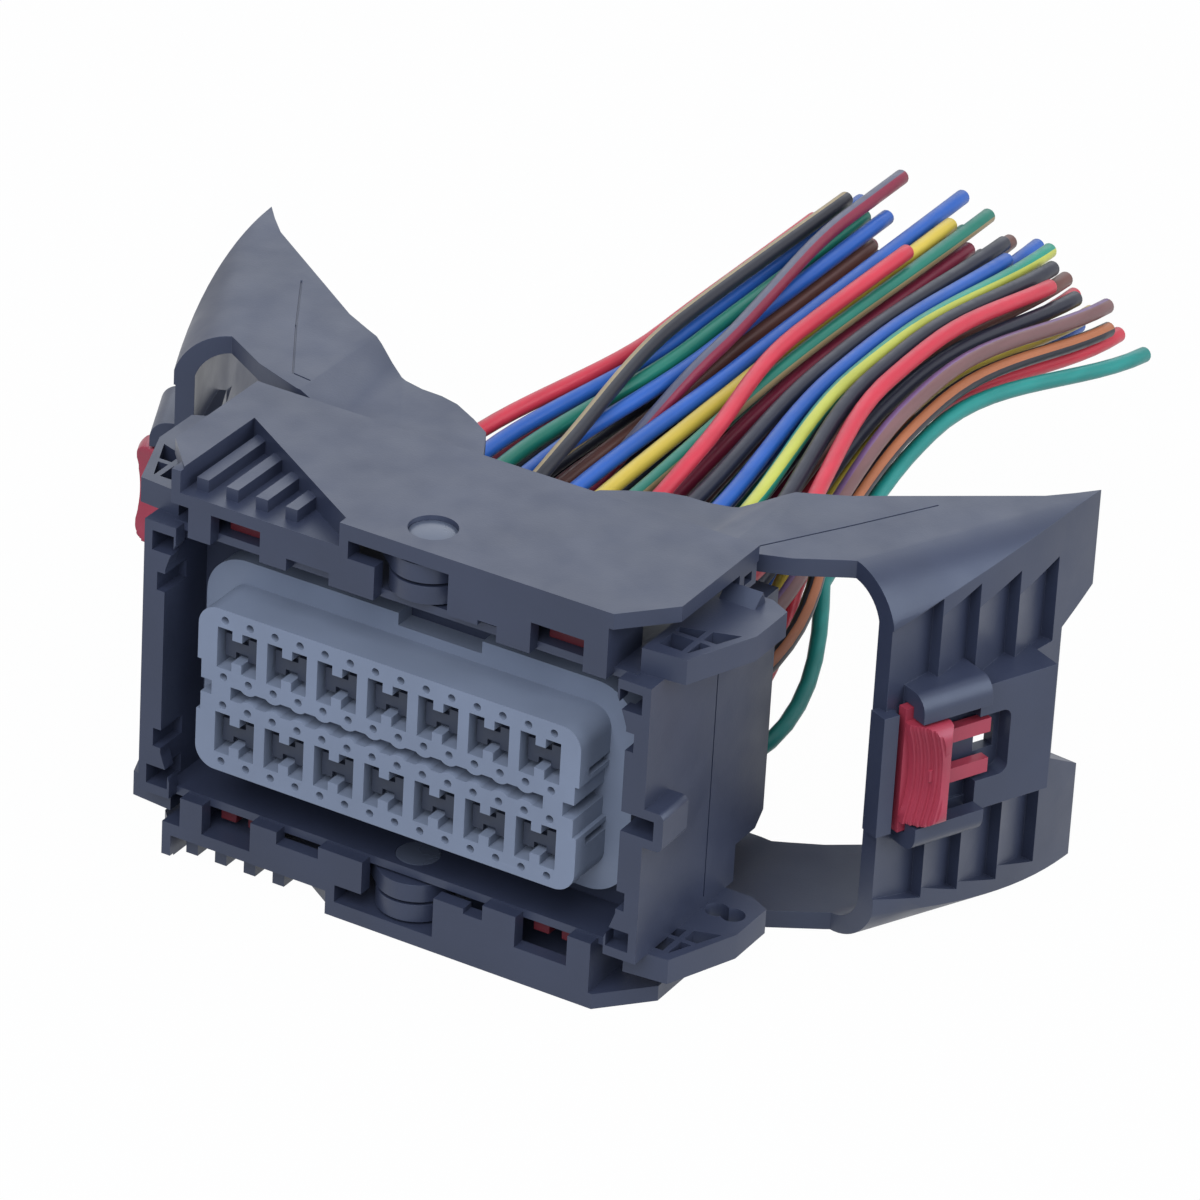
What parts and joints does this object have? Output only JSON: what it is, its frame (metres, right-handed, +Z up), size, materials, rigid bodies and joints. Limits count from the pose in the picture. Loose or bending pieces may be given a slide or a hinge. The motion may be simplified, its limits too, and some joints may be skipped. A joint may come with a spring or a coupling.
{
  "type": "engine control unit connector",
  "caption": "Multi-way wiring-loom plug with a grey contact block in a black lever frame; two curved locking levers with red latches draw it onto a control unit header.",
  "frame": {"origin": "centre of the lower cover's flat outer face, on which the connector rests", "axes": "X across the connector from the left lever to the right one, Y from the mating face back to the wires, Z up"},
  "size_m": [0.0896, 0.1081, 0.0388],
  "materials": {
    "housing_black": "satin moulded black plastic with a blue-grey sheen",
    "insert_grey": "satin moulded blue-grey plastic",
    "latch_red": "moulded red plastic, half gloss",
    "contact_tin": "tin-plated copper alloy",
    "wire_red": "smooth red insulation",
    "wire_blue": "smooth blue insulation",
    "wire_green": "smooth dark green insulation",
    "wire_yellow": "smooth yellow insulation",
    "wire_black": "smooth black insulation",
    "wire_brown": "smooth brown insulation",
    "wire_maroon": "smooth maroon insulation",
    "wire_teal": "smooth teal insulation",
    "wire_green_yellow": "green insulation with a yellow tracer stripe",
    "wire_black_tan": "black insulation with a tan tracer stripe",
    "wire_black_orange": "black insulation with an orange tracer stripe",
    "wire_brown_violet": "brown insulation with a violet tracer stripe"
  },
  "bodies": {
    "housing": {"outer_frame": "housing_black", "socket_block": "insert_grey", "rear_retainer": "housing_black", "contacts_row_1": "contact_tin", "contacts_row_2": "contact_tin", "contacts_row_3": "contact_tin", "contacts_row_4": "contact_tin", "upper_pivot_pin": "housing_black", "lower_pivot_pin": "housing_black", "lever_interlocks": "latch_red", "wires_red": "wire_red", "wires_blue": "wire_blue", "wires_green": "wire_green", "wires_yellow": "wire_yellow", "wires_black": "wire_black", "wires_brown": "wire_brown", "wires_maroon": "wire_maroon", "wires_teal": "wire_teal", "wires_green_yellow": "wire_green_yellow", "wires_black_tan": "wire_black_tan", "wires_black_orange": "wire_black_orange", "wires_brown_violet": "wire_brown_violet"},
    "left_lever": {"lever_left": "housing_black"},
    "right_lever": {"lever_right": "housing_black"},
    "left_latch": {"latch_left": "latch_red"},
    "right_latch": {"latch_right": "latch_red"}
  },
  "joints": [
    {"name": "left_lever_swing", "type": "hinge", "parent": "housing", "child": "left_lever", "pos_m": [0.0012, -0.00485, 0.0194], "axis": [0, 0, -1], "range_deg": [0, 20]},
    {"name": "right_lever_swing", "type": "hinge", "parent": "housing", "child": "right_lever", "pos_m": [0.0012, -0.00485, 0.0194], "axis": [0, 0, 1], "range_deg": [0, 20]},
    {"name": "left_latch_slide", "type": "slide", "parent": "left_lever", "child": "left_latch", "axis": [-0.4226, 0.9063, 0], "range_m": [0, 0.0016]},
    {"name": "right_latch_slide", "type": "slide", "parent": "right_lever", "child": "right_latch", "axis": [0.4226, 0.9063, 0], "range_m": [0, 0.0016]}
  ]
}
